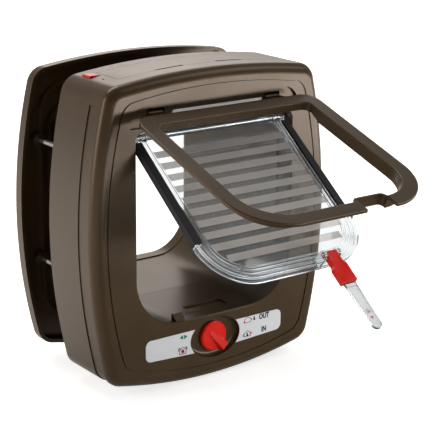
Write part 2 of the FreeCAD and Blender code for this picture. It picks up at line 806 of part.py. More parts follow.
def make_flap():
    y, z = flap_axis.y, flap_axis.z
    low = z - flap_length

    def slab(inset, thickness):
        return flap_outline(inset, y - thickness / 2, y + thickness / 2)

    rim = slab(0, flap_rim).cut(slab(flap_rim_width, flap_rim + 2))
    ribs = [slab(inset, flap_rib).cut(slab(inset + flap_rib_width, flap_rib + 2)) for inset in flap_ribs]
    sheet = slab(0.5, flap_sheet)
    flap = sheet.fuse([rim] + ribs)
    for side in (-1, 1):
        edge = side * flap_width / 2
        reach = edge - side * (seal_width + 0.15)
        flap = flap.cut(box(min(edge + side, reach), max(edge + side, reach), y - far / 2, y + far / 2,
                            z - seal_to - 0.2, z + 1))
    flap = flap.fuse(rod_x(sleeve_radius, -half_sleeve(), half_sleeve(), y, z))
    for side in (-1, 1):
        x = side * (half_sleeve() - knuckle_width / 2)
        flap = flap.fuse(rod_x(knuckle_radius - 1.0, x - knuckle_width / 2, x + knuckle_width / 2, y, z))
        for n in range(knuckle_ribs):
            xr = x - knuckle_width / 2 + n * (knuckle_width - 1.6) / (knuckle_ribs - 1)
            flap = flap.fuse(rod_x(knuckle_radius, xr, xr + 1.6, y, z))
    for side in (-1, 1):
        x = pointer_x + side * (neck_width / 2 + 0.3 + lug_width / 2)
        lug = box(x - lug_width / 2, x + lug_width / 2, y - pivot_forward, y,
                  pivot().z - lug_radius, pivot().z + lug_radius)
        tip = rod_x(lug_radius, x - lug_width / 2, x + lug_width / 2, pivot().y, pivot().z)
        flap = flap.fuse([lug, tip])
    flap = flap.cut([rod_x(rod_radius + running_gap, -far / 2, far / 2, y, z),
                     rod_x(pin_radius + running_gap, pointer_x - 20, pointer_x + 20,
                           pivot().y, pivot().z)])
    return one(flap)


def half_sleeve():
    return flap_width / 2 - knuckle_inset


def pivot():
    return V(pointer_x, flap_axis.y - pivot_forward, flap_axis.z - pivot_down)


def make_seal(side):
    y, z = flap_axis.y, flap_axis.z
    x1 = flap_width / 2
    x0 = x1 - seal_width
    bar = box(x0, x1, y - seal_thickness / 2, y + seal_thickness / 2, z - seal_to, z - seal_from)
    bar = bar.makeFillet(1.2, [e for e in bar.Edges if abs(e.CenterOfMass.x - x1) < 1e-3])
    return one(bar if side > 0 else bar.mirror(V(0, 0, 0), V(1, 0, 0)))


def make_rod():
    reach = half_opening + tunnel_wall + rod_boss_depth - 1.3
    return rod_x(rod_radius, -reach, reach, flap_axis.y, flap_axis.z)


# ---- pointer, modelled hanging below the closed flap ----
def make_block():
    p = pivot()
    half = block_thickness / 2
    n, b = neck_width / 2, block_width / 2
    shoulder = p.z - neck_length
    points = [(p.x - n, p.z), (p.x - n, shoulder), (p.x - b, shoulder - 3.0), (p.x - b, p.z - block_length),
              (p.x + b, p.z - block_length), (p.x + b, shoulder), (p.x + n, shoulder + 1.2), (p.x + n, p.z)]
    block = plate(points, p.y - half, p.y + half)
    block = block.fuse(rod_x(half, p.x - n, p.x + n, p.y, p.z))
    socket = box(p.x - tongue_width / 2 - 0.05, p.x + tongue_width / 2 + 0.05,
                 p.y - tongue_thickness / 2 - 0.05, p.y + tongue_thickness / 2 + 0.05,
                 p.z - block_length - 1, p.z - block_length + tongue_socket + 0.05)
    return one(block.cut([socket, rod_x(pin_radius + 0.05, p.x - far / 2, p.x + far / 2, p.y, p.z)]))


def make_tongue():
    p = pivot()
    half = tongue_thickness / 2
    w, t = tongue_width / 2, tongue_tip_width / 2
    z0 = p.z - block_length + tongue_socket
    z1 = p.z - tongue_length + t
    tongue = plate([(p.x - w, z0), (p.x - t, z1), (p.x + t, z1), (p.x + w, z0)], p.y - half, p.y + half)
    tongue = tongue.fuse(rod_y(t, p.y - half, p.y + half, p.x, z1))
    e = tongue_border
    panel = plate([(p.x - w + e, z0 - 9), (p.x - t + e, z1), (p.x + t - e, z1), (p.x + w - e, z0 - 9)],
                  p.y - half - 1, p.y - half + 0.5)
    panel = panel.fuse(rod_y(t - e, p.y - half - 1, p.y - half + 0.5, p.x, z1))
    return one(tongue.cut(panel))


def make_pin():
    p = pivot()
    reach = neck_width / 2 + 0.3 + lug_width
    return rod_x(pin_radius, p.x - reach, p.x + reach, p.y, p.z)


# ---- draught frame, modelled closed ----
def frame_top():
    return top_of_opening - frame_top_drop


def frame_outline(y0, y1):
    return portal(frame_width / 2, frame_top(), frame_top() - frame_length, frame_low_radius,
                  frame_top_radius, y0, y1)


def frame_window(grow, y0, y1):
    top = frame_top() - frame_top_bar
    low = frame_top() - frame_length + frame_bottom_bar
    return portal(frame_window_width / 2 + grow, top + grow, low - grow, frame_window_radius + grow,
                  frame_window_top_radius + grow, y0, y1)


def make_cover_frame():
    y0 = front + frame_front
    y1 = front + frame_wall_to
    low = frame_top() - frame_length + frame_bottom_bar
    flange = frame_outline(y0, y0 + frame_flange)
    wall_ring = frame_window(frame_wall, y0, y1)
    ring = one(flange.fuse(wall_ring).cut(frame_window(0, y0 - 1, y1 + 1)))
    ring = ring.makeFillet(frame_edge, [e for e in ring.Edges if abs(e.BoundBox.YMax - y0) < 1e-3])
    y_top = front + frame_top_wall_to
    high = frame_top() - frame_top_bar
    ring = ring.cut(side_plate([(y_top, frame_top() + 5), (y_top, high - 6), (y1 - 1, high - 14),
                                (y1 + 1, high - 16), (y1 + 1, frame_top() + 5)],
                               -frame_width, frame_width))
    inner = low + bridge_rise
    notch = box(notch_left, notch_right, y0 - 1, y1 + 1, low - 20, inner - frame_wall)
    bridge = box(notch_left - frame_wall, notch_right + frame_wall,
                 front + bridge_front, y1, low - 1.2, inner)
    bridge = bridge.makeFillet(bridge_radius, [e for e in bridge.Edges if along_y(e)
                                               and e.CenterOfMass.z > inner - 0.01])
    hollow = box(notch_left, notch_right, y0 - 1, y1 + 1, low - 20, inner - frame_wall)
    corners = [e for e in hollow.Edges if along_y(e) and e.CenterOfMass.z > inner - frame_wall - 0.01]
    hollow = hollow.makeFillet(bridge_radius - frame_wall, corners)
    ring = ring.cut(notch.common(box(notch_left, notch_right, y0 - 1, y1 + 1, low - 20, low + 0.01)))
    ring = ring.fuse(bridge).cut(hollow)
    half = near_catch_width / 2 + catch_window
    ring = ring.cut(box(near_catch_x - half, near_catch_x + half, front + near_catch_from - 0.8, y1 + 1,
                        low - frame_wall - 3, low + 3))
    for side in (-1, 1):
        ring = ring.fuse(frame_arm(side))
    return one(ring)


def frame_arm(side):
    middle = (pocket_inner + pocket_outer) / 2.0
    x0, x1 = middle - arm_width / 2, middle + arm_width / 2
    t = arm_thickness
    ax = frame_axis
    y0 = front + frame_front + frame_flange
    z0 = frame_top()
    points = [(y0 - 1.0, z0 - 4.0), (y0 - 1.0, z0), (ax.y - t / 2, ax.z), (ax.y + t / 2, ax.z - 0.5),
              (y0 + t - 1.0, z0 - 1.0), (y0 + t - 1.0, z0 - 4.0)]
    arm = side_plate(points, x0, x1)
    arm = arm.fuse([rod_x(barrel_radius, x0, x1, ax.y, ax.z),
                    rod_x(hinge_pin_radius, pocket_inner - 2.0, pocket_outer + 2.2, ax.y, ax.z)])
    return arm if side > 0 else arm.mirror(V(0, 0, 0), V(1, 0, 0))


# ---- outdoor frame ----
def make_outer_frame():
    y0, y1 = outer_near, outer_far
    frame = bowed(outer_inset, y0, y1, corner_radius)
    frame = frame.makeFillet(outer_round, [e for e in frame.Edges if abs(e.BoundBox.YMin - y1) < 1e-3])
    hollow = bowed(outer_inset + outer_wall, y0 - 1, y1 - outer_wall, corner_radius - outer_wall)
    frame = frame.cut(hollow)
    rib = upright(rib_half_width, rib_half_height, rib_radius, y0 + rib_drop, y1 - 1)
    rib = rib.cut(upright(rib_half_width - rib_width, rib_half_height - rib_width, rib_radius - rib_width,
                          y0, y1))
    reach = tunnel_wall + collar_gap
    half_w, half_h = half_opening + reach, opening_height / 2 + reach
    collar = upright(half_w + collar_width, half_h + collar_width, collar_radius, y0 + rib_drop, y1 - 1)
    collar = collar.cut(upright(half_w, half_h, collar_radius - collar_width, y0, y1))
    bosses = [rod_y(boss_radius, y0 + 0.6, y1 - 1, x, z) for x, z in screw_places()]
    frame = frame.fuse([rib, collar] + bosses)
    cuts = [outer_tunnel(tunnel_wall + tunnel_seat, tunnel_end)]
    cuts += [rod_y(screw_radius + running_gap, y0, y0 + screw_grip + 1.0, x, z) for x, z in screw_places()]
    return one(frame.cut(cuts))


def make_outer_tunnel():
    """The outdoor tunnel, seated against the frame's plate by a flange."""
    lip_at = tunnel_end - outer_lip_length
    tube = outer_tunnel(tunnel_wall, lip_at)
    end = lip_slab(tunnel_wall, outer_rise(lip_at), lip_at, tunnel_end)
    end = end.makeChamfer(outer_lip_chamfer, [e for e in end.Edges
                                              if abs(e.BoundBox.YMin - tunnel_end) < 1e-3])
    seat = outer_far - outer_wall
    reach = tunnel_wall + collar_gap - fit_gap
    flange = lip_slab(reach, outer_rise(seat), seat - flange_thickness, seat)
    flange = flange.common(upright(half_opening + reach, opening_height / 2 + reach,
                                   collar_radius - collar_width, 0, seat + 1))
    cuts = [outer_tunnel(0, lip_at),
            lip_slab(-outer_lip_step, outer_rise(lip_at) + outer_lip_rise, lip_at, tunnel_end + 1)]
    return one(tube.fuse([end, flange]).cut(cuts))


def lip_slab(grow, rise, y0, y1):
    """The opening with its floor at one height."""
    return portal(half_opening + grow, top_of_opening + grow, sill + rise - grow,
                  opening_low_radius - rise + grow, opening_top_radius + grow, y0, y1)


def upright(half_w, half_h, radius, y0, y1):
    """A rounded upright slab about the origin."""
    return round_y_edges(box(-half_w, half_w, y0, y1, -half_h, half_h), radius)


def make_screw(x, z):
    y0 = front + screw_from
    shank = rod_y(screw_radius, y0 - 0.1, outer_near + screw_grip, x, z)
    head = rod_y(screw_head_radius, y0 - screw_head, y0, x, z)
    edge = [e for e in head.Edges if abs(e.BoundBox.YMax - y0 + screw_head) < 1e-3]
    head = head.makeFillet(1.2, edge)
    slot = box(x - 0.6, x + 0.6, y0 - screw_head - 1, y0 - screw_head + 1.3, z - 3, z + 3)
    cross = box(x - 3, x + 3, y0 - screw_head - 1, y0 - screw_head + 1.3, z - 0.6, z + 0.6)
    return one(shank.fuse(head).cut([slot, cross]))


# ---- everything in its place ----
flap_pieces = {
    "flap_panel": make_flap(),
    "seal_left": make_seal(-1),
    "seal_right": make_seal(1),
    "pointer_block": make_block(),
    "pointer_tongue": make_tongue(),
    "pointer_pin": make_pin(),
}
pieces = {name: swing(shape, flap_axis, flap_rest) for name, shape in flap_pieces.items()}
pieces["hinge_rod"] = make_rod()
pieces["cover_frame"] = swing(make_cover_frame(), frame_axis, frame_rest)
pieces["housing_shell"] = make_shell()
pieces["front_cover"] = make_front_cover()
pieces["sensor_window"] = one(sensor_slot(0.1))
pieces["label_left"] = make_label(-1)
pieces["label_right"] = make_label(1)
pieces["outer_frame"] = make_outer_frame()
pieces["outer_tunnel"] = make_outer_tunnel()
for number, (x, z) in enumerate(screw_places(), 1):
    pieces["long_screw_%d" % number] = make_screw(x, z)
pieces["battery_lid"] = make_lid()
for number, place in enumerate(cell_places(), 1):
    pieces["battery_%d" % number] = make_cell(*place)
    pieces["battery_contact_%d" % number] = make_contact(*place)
pieces["learn_button"] = make_button()
pieces["circuit_board"] = make_board()
pieces["button_switch"] = make_switch()
pieces["status_lamp"] = make_lamp()
pieces["reader_coil"] = make_coil()
pieces["selector_knob"] = make_knob()
pieces["selector_cam"] = make_cam()
pieces["near_catch"] = make_near_catch()
pieces["far_catch"] = make_far_catch()

os.makedirs("parts", exist_ok=True)
for name, shape in pieces.items():
    print(name, shape.ShapeType, len(shape.Solids), shape.isValid(), round(shape.Volume))
    shape.exportStep(os.path.join("parts", name + ".step"))
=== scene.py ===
# chip-reading cat flap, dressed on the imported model
import bpy, bmesh, math
from mathutils import Matrix, Vector


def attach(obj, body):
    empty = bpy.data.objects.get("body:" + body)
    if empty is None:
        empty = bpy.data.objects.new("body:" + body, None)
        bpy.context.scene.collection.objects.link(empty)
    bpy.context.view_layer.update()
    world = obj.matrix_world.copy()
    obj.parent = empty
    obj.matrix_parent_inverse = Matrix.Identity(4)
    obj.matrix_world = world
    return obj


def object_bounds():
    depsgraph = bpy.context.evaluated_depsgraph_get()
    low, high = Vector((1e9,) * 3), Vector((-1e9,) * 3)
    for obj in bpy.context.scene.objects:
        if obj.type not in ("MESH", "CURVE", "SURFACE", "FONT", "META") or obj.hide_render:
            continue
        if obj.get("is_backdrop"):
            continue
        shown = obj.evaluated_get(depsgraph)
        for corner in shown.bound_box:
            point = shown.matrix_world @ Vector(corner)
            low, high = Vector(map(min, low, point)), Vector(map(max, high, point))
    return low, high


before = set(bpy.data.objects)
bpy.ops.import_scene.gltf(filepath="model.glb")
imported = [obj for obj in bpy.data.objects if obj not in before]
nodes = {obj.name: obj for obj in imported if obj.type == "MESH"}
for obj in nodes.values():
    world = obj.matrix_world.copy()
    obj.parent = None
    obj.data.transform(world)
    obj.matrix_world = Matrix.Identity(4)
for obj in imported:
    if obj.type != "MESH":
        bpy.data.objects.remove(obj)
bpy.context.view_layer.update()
mm = 0.001
print("frame loaded,", len(nodes), "pieces")


# camera, fitted to the photograph: angles in degrees, lengths in mm, clipping in metres
view = {"azimuth": -36.82, "elevation": 16.28, "roll": 0.56, "focalPixels": 1431.93,
        "imagePixels": 433, "sensor": 36.0, "distance": 1120.68, "across": 0.11, "up": 7.68,
        "shiftY": -64.5, "shiftZ": -5.7, "clip": (0.02, 50)}


def makeCamera(v):
    a, e, r = (math.radians(v[k]) for k in ("azimuth", "elevation", "roll"))
    back = Vector((math.sin(a) * math.cos(e), -math.cos(a) * math.cos(e), math.sin(e)))
    right = Vector((math.cos(a), math.sin(a), 0))
    up = back.cross(right)
    turnedRight = math.cos(r) * right + math.sin(r) * up
    turnedUp = -math.sin(r) * right + math.cos(r) * up
    place = v["across"] * turnedRight + v["up"] * turnedUp + v["distance"] * back
    place = (place + Vector((0, v["shiftY"], v["shiftZ"]))) * mm
    data = bpy.data.cameras.new("photoCamera")
    data.sensor_width = v["sensor"]
    data.lens = v["focalPixels"] * v["sensor"] / v["imagePixels"]
    data.clip_start, data.clip_end = v["clip"]
    cam = bpy.data.objects.new("photoCamera", data)
    bpy.context.scene.collection.objects.link(cam)
    cam.matrix_world = Matrix((
        (turnedRight.x, turnedUp.x, back.x, place.x),
        (turnedRight.y, turnedUp.y, back.y, place.y),
        (turnedRight.z, turnedUp.z, back.z, place.z),
        (0, 0, 0, 1)))
    bpy.context.scene.camera = cam


makeCamera(view)
print("camera set")


# helpers for node trees
def feed(tree, node, values):
    # an input takes a plain value or another node's output
    for key, value in values.items():
        if isinstance(value, bpy.types.NodeSocket):
            tree.links.new(value, node.inputs[key])
        else:
            node.inputs[key].default_value = value


def addNode(tree, kind, values=None, **settings):
    node = tree.nodes.new(kind)
    for key, value in settings.items():
        setattr(node, key, value)
    feed(tree, node, values or {})
    return node


def maths(tree, operation, *terms):
    node = addNode(tree, "ShaderNodeMath", dict(enumerate(terms)), operation=operation)
    return node.outputs[0]


def newMaterial(name):
    mat = bpy.data.materials.new(name)
    mat.use_nodes = True
    tree = mat.node_tree
    return mat, tree, tree.nodes["Principled BSDF"]


# fine moulded grain and faint shade variation, shared by the plastics
mouldGrainLook = {"grainDetail": 2.0, "patchScale": 38.0, "patchDetail": 4.0,
                  "patchLow": 0.3, "patchHigh": 0.7}


def makeMouldGrain(s):
    group = bpy.data.node_groups.new("mouldGrain", "ShaderNodeTree")
    for name, kind, value in (("Base", "NodeSocketColor", (0.1, 0.1, 0.1, 1)),
                              ("Roughness", "NodeSocketFloat", 0.4),
                              ("Grain Size", "NodeSocketFloat", 2600.0),
                              ("Grain Depth", "NodeSocketFloat", 0.15),
                              ("Patchiness", "NodeSocketFloat", 0.1)):
        group.interface.new_socket(name, in_out="INPUT", socket_type=kind).default_value = value
    for name, kind in (("Color", "NodeSocketColor"), ("Roughness", "NodeSocketFloat"),
                       ("Height", "NodeSocketFloat")):
        group.interface.new_socket(name, in_out="OUTPUT", socket_type=kind)
    given = addNode(group, "NodeGroupInput").outputs
    place = addNode(group, "ShaderNodeTexCoord").outputs["Object"]
    grain = addNode(group, "ShaderNodeTexNoise", {
        "Vector": place, "Scale": given["Grain Size"], "Detail": s["grainDetail"]})
    patch = addNode(group, "ShaderNodeTexNoise", {
        "Vector": place, "Scale": s["patchScale"], "Detail": s["patchDetail"]})
    spread = addNode(group, "ShaderNodeMapRange", {
        "Value": patch.outputs["Fac"], "From Min": s["patchLow"], "From Max": s["patchHigh"],
        "To Min": -1.0, "To Max": 1.0})
    shift = maths(group, "MULTIPLY", spread.outputs["Result"], given["Patchiness"])
    level = maths(group, "ADD", shift, 1.0)
    tint = addNode(group, "ShaderNodeVectorMath", {0: given["Base"], "Scale": level},
                   operation="SCALE")
    addNode(group, "NodeGroupOutput", {
        "Color": tint.outputs[0],
        "Roughness": maths(group, "MULTIPLY", given["Roughness"], level),
        "Height": maths(group, "MULTIPLY", grain.outputs["Fac"], given["Grain Depth"])})
    return group


mouldGrain = makeMouldGrain(mouldGrainLook)


def addGrain(tree, shader, color, roughness, patchiness):
    grain = addNode(tree, "ShaderNodeGroup", {
        "Base": (*color, 1), "Roughness": roughness, "Patchiness": patchiness},
        node_tree=mouldGrain)
    feed(tree, shader, {"Base Color": grain.outputs["Color"],
                        "Roughness": grain.outputs["Roughness"]})
    return grain


plasticLook = {"grainSize": 2600.0, "grainDepth": 0.15, "patchiness": 0.08, "bump": 0.25,
               "bumpReach": 0.0003, "gloss": 0.3, "sheen": (1, 1, 1), "coat": 0.0,
               "coatRoughness": 0.12}


def mouldedPlastic(name, color, roughness, **changes):
    s = {**plasticLook, **changes}
    mat, tree, shader = newMaterial(name)
    grain = addGrain(tree, shader, color, roughness, s["patchiness"])
    feed(tree, grain, {"Grain Size": s["grainSize"], "Grain Depth": s["grainDepth"]})
    bump = addNode(tree, "ShaderNodeBump", {
        "Strength": s["bump"], "Distance": s["bumpReach"], "Height": grain.outputs["Height"]})
    feed(tree, shader, {
        "Normal": bump.outputs["Normal"], "Specular IOR Level": s["gloss"],
        "Specular Tint": (*s["sheen"], 1), "Coat Weight": s["coat"],
        "Coat Roughness": s["coatRoughness"]})
    return mat


clearLook = {"patchiness": 0.02, "transmission": 0.95, "ior": 1.46}


def clearPlastic(name, tint, roughness, s=clearLook):
    mat, tree, shader = newMaterial(name)
    addGrain(tree, shader, tint, roughness, s["patchiness"])
    feed(tree, shader, {"Transmission Weight": s["transmission"], "IOR": s["ior"]})
    return mat


frostLook = {"color": (0.66, 0.63, 0.60), "roughness": 0.6, "patchiness": 0.05, "cover": 0.5}


def frostedPlastic(name, s=frostLook):
    mat, tree, shader = newMaterial(name)
    addGrain(tree, shader, s["color"], s["roughness"], s["patchiness"])
    feed(tree, shader, {"Alpha": s["cover"]})
    return mat


metalLook = {"streakScale": 900.0, "streakDetail": 3.0, "smoothest": 0.7, "roughest": 1.4}


def brushedMetal(name, color, roughness, stretch, s=metalLook):
    mat, tree, shader = newMaterial(name)
    place = addNode(tree, "ShaderNodeTexCoord").outputs["Object"]
    mapping = addNode(tree, "ShaderNodeMapping", {"Vector": place, "Scale": stretch})
    streak = addNode(tree, "ShaderNodeTexNoise", {
        "Vector": mapping.outputs["Vector"], "Scale": s["streakScale"],
        "Detail": s["streakDetail"]})
    rough = addNode(tree, "ShaderNodeMapRange", {
        "Value": streak.outputs["Fac"], "To Min": roughness * s["smoothest"],
        "To Max": roughness * s["roughest"]})
    feed(tree, shader, {"Base Color": (*color, 1), "Metallic": 1.0,
                        "Roughness": rough.outputs["Result"]})
    return mat


brownGloss = {"gloss": 0.4, "sheen": (1.0, 0.82, 0.68)}
inkLook = {"grainDepth": 0.04, "patchiness": 0.03}
finish = {
    "brown": mouldedPlastic("brownPlastic", (0.050, 0.031, 0.0135), 0.30, **brownGloss),
    # a slightly darker, rougher copy of the brown plastic: painted shade for the two catches, which
    # lie in shadow inside the tunnel
    "brownPaintedShade": mouldedPlastic("brownPlasticPaintedShade", (0.048, 0.029, 0.013), 0.36, **brownGloss),
    "red": mouldedPlastic("redPlastic", (0.68, 0.013, 0.007), 0.25, grainDepth=0.05, gloss=0.25),
    "black": mouldedPlastic("sealStrip", (0.016, 0.017, 0.019), 0.62, grainSize=1500.0,
                            grainDepth=0.5, bump=0.5),
    "dark": mouldedPlastic("darkPlastic", (0.03, 0.03, 0.03), 0.5),
    "label": mouldedPlastic("labelFilm", (0.70, 0.72, 0.75), 0.34, grainSize=1800.0,
                            grainDepth=0.04, patchiness=0.015),
    "milky": mouldedPlastic("milkyWindow", (0.88, 0.89, 0.9), 0.18, grainDepth=0.03,
                            patchiness=0.01),
    "clear": clearPlastic("clearFlap", (0.76, 0.80, 0.82), 0.03),
    "clearTongue": clearPlastic("clearTongue", (0.56, 0.60, 0.615), 0.08),
    "frost": frostedPlastic("frostedBand"),
    "steel": brushedMetal("zincSteel", (0.58, 0.59, 0.6), 0.28, (1.0, 0.08, 1.0)),
    "wire": brushedMetal("coilCopper", (0.7, 0.32, 0.16), 0.35, (1.0, 1.0, 1.0)),
    "cell": mouldedPlastic("cellWrap", (0.09, 0.1, 0.11), 0.3, grainDepth=0.04, coat=0.4),
    "board": mouldedPlastic("boardLacquer", (0.015, 0.13, 0.05), 0.3, grainSize=700.0),
    "lamp": mouldedPlastic("lampLens", (0.16, 0.012, 0.01), 0.15, coat=0.6),
    "printGreen": mouldedPlastic("printGreen", (0.0, 0.20, 0.13), 0.35, **inkLook),
    "printDark": mouldedPlastic("printDark", (0.02, 0.02, 0.024), 0.35, **inkLook),
    "printRed": mouldedPlastic("printRed", (0.62, 0.02, 0.015), 0.35, **inkLook),
}

# the model's other nodes are the battery cells and steel screws and contacts
nodeFinish = {
    "housing_shell": "brown", "front_cover": "brown", "outer_frame": "brown",
    "outer_tunnel": "brown", "battery_lid": "brown", "cover_frame": "brown",
    # the catches take the darker brown copy, painted shade for the tunnel's shadow
    "near_catch": "brownPaintedShade", "far_catch": "brownPaintedShade",
    "flap_panel": "clear", "pointer_tongue": "clearTongue", "sensor_window": "milky",
    "pointer_block": "red", "selector_knob": "red", "learn_button": "red",
    "selector_cam": "dark", "button_switch": "dark", "seal_left": "black", "seal_right": "black",
    "label_left": "label", "label_right": "label", "hinge_rod": "steel", "pointer_pin": "steel",
    "circuit_board": "board", "status_lamp": "lamp", "reader_coil": "wire"}
for name, piece in nodes.items():
    isCell = name.startswith("battery_") and "contact" not in name
    key = nodeFinish.get(name, "cell" if isCell else "steel")
    piece.data.materials.clear()
    piece.data.materials.append(finish[key])
print("finishes assigned")


# helpers for new pieces, drawn in mm
flapRest = {"axisY": -53.4, "axisZ": 71.7, "lift": 53.0}     # the rod, and the lift in degrees
houseShape = {"eaves": 0.16, "ridge": 0.5}


def turned(v, p):
    # a place on the closed flap, turned to its lifted rest about the rod
    a = math.radians(v["lift"])
    y, z = p[1] - v["axisY"], p[2] - v["axisZ"]
    return (p[0], v["axisY"] + y * math.cos(a) + z * math.sin(a),
            v["axisZ"] - y * math.sin(a) + z * math.cos(a))


def addPiece(name, mesh, mat, body):
    mesh.materials.clear()
    mesh.materials.append(mat)
    piece = bpy.data.objects.new(name, mesh)
    bpy.context.scene.collection.objects.link(piece)
    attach(piece, body)


def meshFrom(name, bm):
    bmesh.ops.recalc_face_normals(bm, faces=bm.faces)
    bmesh.ops.scale(bm, vec=(mm,) * 3, verts=bm.verts)
    mesh = bpy.data.meshes.new(name)
    bm.to_mesh(mesh)
    bm.free()
    return mesh


def prism(bm, outline, yFace, thickness):
    # a closed flat shape, from its outline in x and z, standing on the face towards -y
    near = [bm.verts.new((x, yFace - thickness, z)) for x, z in outline]
    away = [bm.verts.new((x, yFace, z)) for x, z in outline]
    bm.faces.new(near)
    bm.faces.new(away[::-1])
    for i, v in enumerate(near):
        j = (i + 1) % len(near)
        bm.faces.new((v, away[i], away[j], near[j]))


def strokes(bm, line, width, yFace, thickness, closed=False):
    # a drawn line as one thin bar for each of its runs
    ends = line[1:] + line[:1] if closed else line[1:]
    for (x0, z0), (x1, z1) in zip(line, ends):
        run = Vector((x1 - x0, z1 - z0))
        run.normalize()
        side = Vector((-run.y, run.x)) * width / 2
        cap = run * width / 2
        prism(bm, [(x0 - cap.x + side.x, z0 - cap.y + side.y),
                   (x0 - cap.x - side.x, z0 - cap.y - side.y),
                   (x1 + cap.x - side.x, z1 + cap.y - side.y),
                   (x1 + cap.x + side.x, z1 + cap.y + side.y)], yFace, thickness)


def roundMark(x, z, radiusX, radiusZ, corners=20):
    steps = [2 * math.pi * i / corners for i in range(corners)]
    return [(x + radiusX * math.cos(a), z + radiusZ * math.sin(a)) for a in steps]


def arrowHead(x, z, reach, half):
    return [(x, z - half), (x + reach, z), (x, z + half)]


def house(x, z, half, tall):
    eaves = z + tall * houseShape["eaves"]
    return [(x - half, z - tall / 2), (x + half, z - tall / 2), (x + half, eaves),
            (x, z + tall / 2 + houseShape["ridge"]), (x - half, eaves)]


# printed marks on the two labels, in mm: a house is its middle, half width and height, an
# arrow beside it is its place from the house's wall and middle, its reach and half height
labelPrint = {
    "face": -64.75, "ink": 0.05, "line": 0.75, "stopLine": 0.7, "houseLine": 0.6, "tickLine": 0.5,
    "freeArrows": (-31.3, -91.3, 3.5, 1.9), "freeGap": 0.45,
    "houseStop": (-32.1, -102.7, 3.2, 5.2), "stopArms": ((0.9, 0.7), (0.5, 2.6), (-0.8, 2.2)),
    "stopLow": 0.4, "stopRound": (1.55, 1.7), "stopBar": 0.9,
    "houseOut": (32.7, -90.5, 3.1, 4.3), "catOut": (39.2, -90.4, 0.95),
    "outRed": (0.2, -1.4, 1.5, 1.3), "outGreen": (-0.1, 0.0, 1.7, 1.3),
    "houseIn": (32.3, -102.5, 3.1, 4.4), "catIn": (32.2, -103.1, 0.95),
    "inRed": (-0.1, 0.0, 1.9, 1.4), "tickGap": 0.3, "tick": ((0.9, -1.8), (0.7, 0.3)),
    "cat": ((-0.9, -1.8), (1.1, -1.8), (1.3, -0.8), (0.7, 0.2), (0.75, 1.1), (0.55, 1.9),
            (0.2, 1.4), (-0.2, 1.4), (-0.5, 1.9), (-0.7, 1.1), (-0.6, 0.3), (-1.0, -0.7)),
    "wordSize": 6.1, "wordNarrow": 0.8, "wordWeight": 0.28, "wordCurve": 6,
    "wordOut": (49.4, -90.5), "wordIn": (49.4, -101.9)}


def makeLabelPrint(s):
    dark, green, red = bmesh.new(), bmesh.new(), bmesh.new()
    y, ink, line = s["face"], s["ink"], s["line"]

    def cat(key):
        x, z, size = s[key]
        prism(dark, [(x + size * across, z + size * up) for across, up in s["cat"]], y, ink)

    def sideArrow(bm, home, mark, way):
        # an arrow beside a house, pointing away from it
        x, z, half, _ = s[home]
        out, up, reach, tipHalf = s[mark]
        prism(bm, arrowHead(x + way * (half + out), z + up, way * reach, tipHalf), y - ink, ink)

    x, z, reach, half = s["freeArrows"]
    for way in (-1, 1):
        prism(green, arrowHead(x + way * s["freeGap"], z, way * reach, half), y, ink)

    x, z, half, tall = s["houseStop"]
    strokes(dark, house(x, z, half, tall), line * s["stopLine"], y, ink, True)
    for way in (-1, 1):
        strokes(dark, [(x + way * (half + out), z + up) for out, up in s["stopArms"]], line, y, ink)
    low = z - s["stopLow"]
    prism(red, roundMark(x, low, *s["stopRound"]), y - ink, ink)
    strokes(dark, [(x - s["stopBar"], low), (x + s["stopBar"], low)], line, y - 2 * ink, ink)

    x, z, half, tall = s["houseOut"]
    strokes(dark, house(x, z, half, tall), line * s["houseLine"], y, ink, True)
    sideArrow(red, "houseOut", "outRed", -1)
    sideArrow(green, "houseOut", "outGreen", 1)
    cat("catOut")

    x, z, half, tall = s["houseIn"]
    strokes(dark, house(x, z, half, tall), line * s["houseLine"], y, ink, True)
    sideArrow(red, "houseIn", "inRed", 1)
    for way in (-1, 1):
        edge = x - half - s["tickGap"] * way
        strokes(dark, [(edge - out, z + up) for out, up in s["tick"]], line * s["tickLine"], y, ink)
    cat("catIn")

    for name, bm, mat, slot in (("labelPrintDark", dark, "printDark", "dark_plastic"),
                                ("labelPrintGreen", green, "printGreen", "label"),
                                ("labelPrintRed", red, "printRed", "red_plastic")):
        addPiece(name, meshFrom(name, bm), finish[mat], "housing")


def makeWord(name, text, centre, s):
    # a word is set flat, made a mesh and then stood on the label
    data = bpy.data.curves.new(name, "FONT")
    data.body = text
    data.size = s["wordSize"]
    data.align_x, data.align_y = "CENTER", "CENTER"
    data.extrude = s["ink"] / 2
    data.offset = s["wordWeight"]
    data.resolution_u = s["wordCurve"]
    word = bpy.data.objects.new(name, data)
    bpy.context.scene.collection.objects.link(word)
    depsgraph = bpy.context.evaluated_depsgraph_get()
    mesh = bpy.data.meshes.new_from_object(word.evaluated_get(depsgraph))
    bpy.data.objects.remove(word)
    x, z = centre
    place = Matrix.Translation((x, s["face"] - s["ink"] / 2, z))
    stand = Matrix.Rotation(math.radians(90), 4, "X")
    narrow = Matrix.Scale(s["wordNarrow"], 4, (1, 0, 0))
    mesh.transform(Matrix.Scale(mm, 4) @ place @ stand @ narrow)
    mesh.name = name
    addPiece(name, mesh, finish["printDark"], "housing")


makeLabelPrint(labelPrint)
makeWord("wordOut", "OUT", labelPrint["wordOut"], labelPrint)
makeWord("wordIn", "IN", labelPrint["wordIn"], labelPrint)
print("label marks made")


# red marks on the clear tongue: a house with a dot, and an arrow under it
pointerPrint = {"x": 21.0, "face": -67.85, "ink": 0.06, "line": 0.42, "house": -123.9, "half": 1.25,
                "tall": 2.6, "dotLow": 0.3, "dot": 0.5, "arrow": -129.7, "arrowUp": 1.0,
                "arrowDown": 1.6}


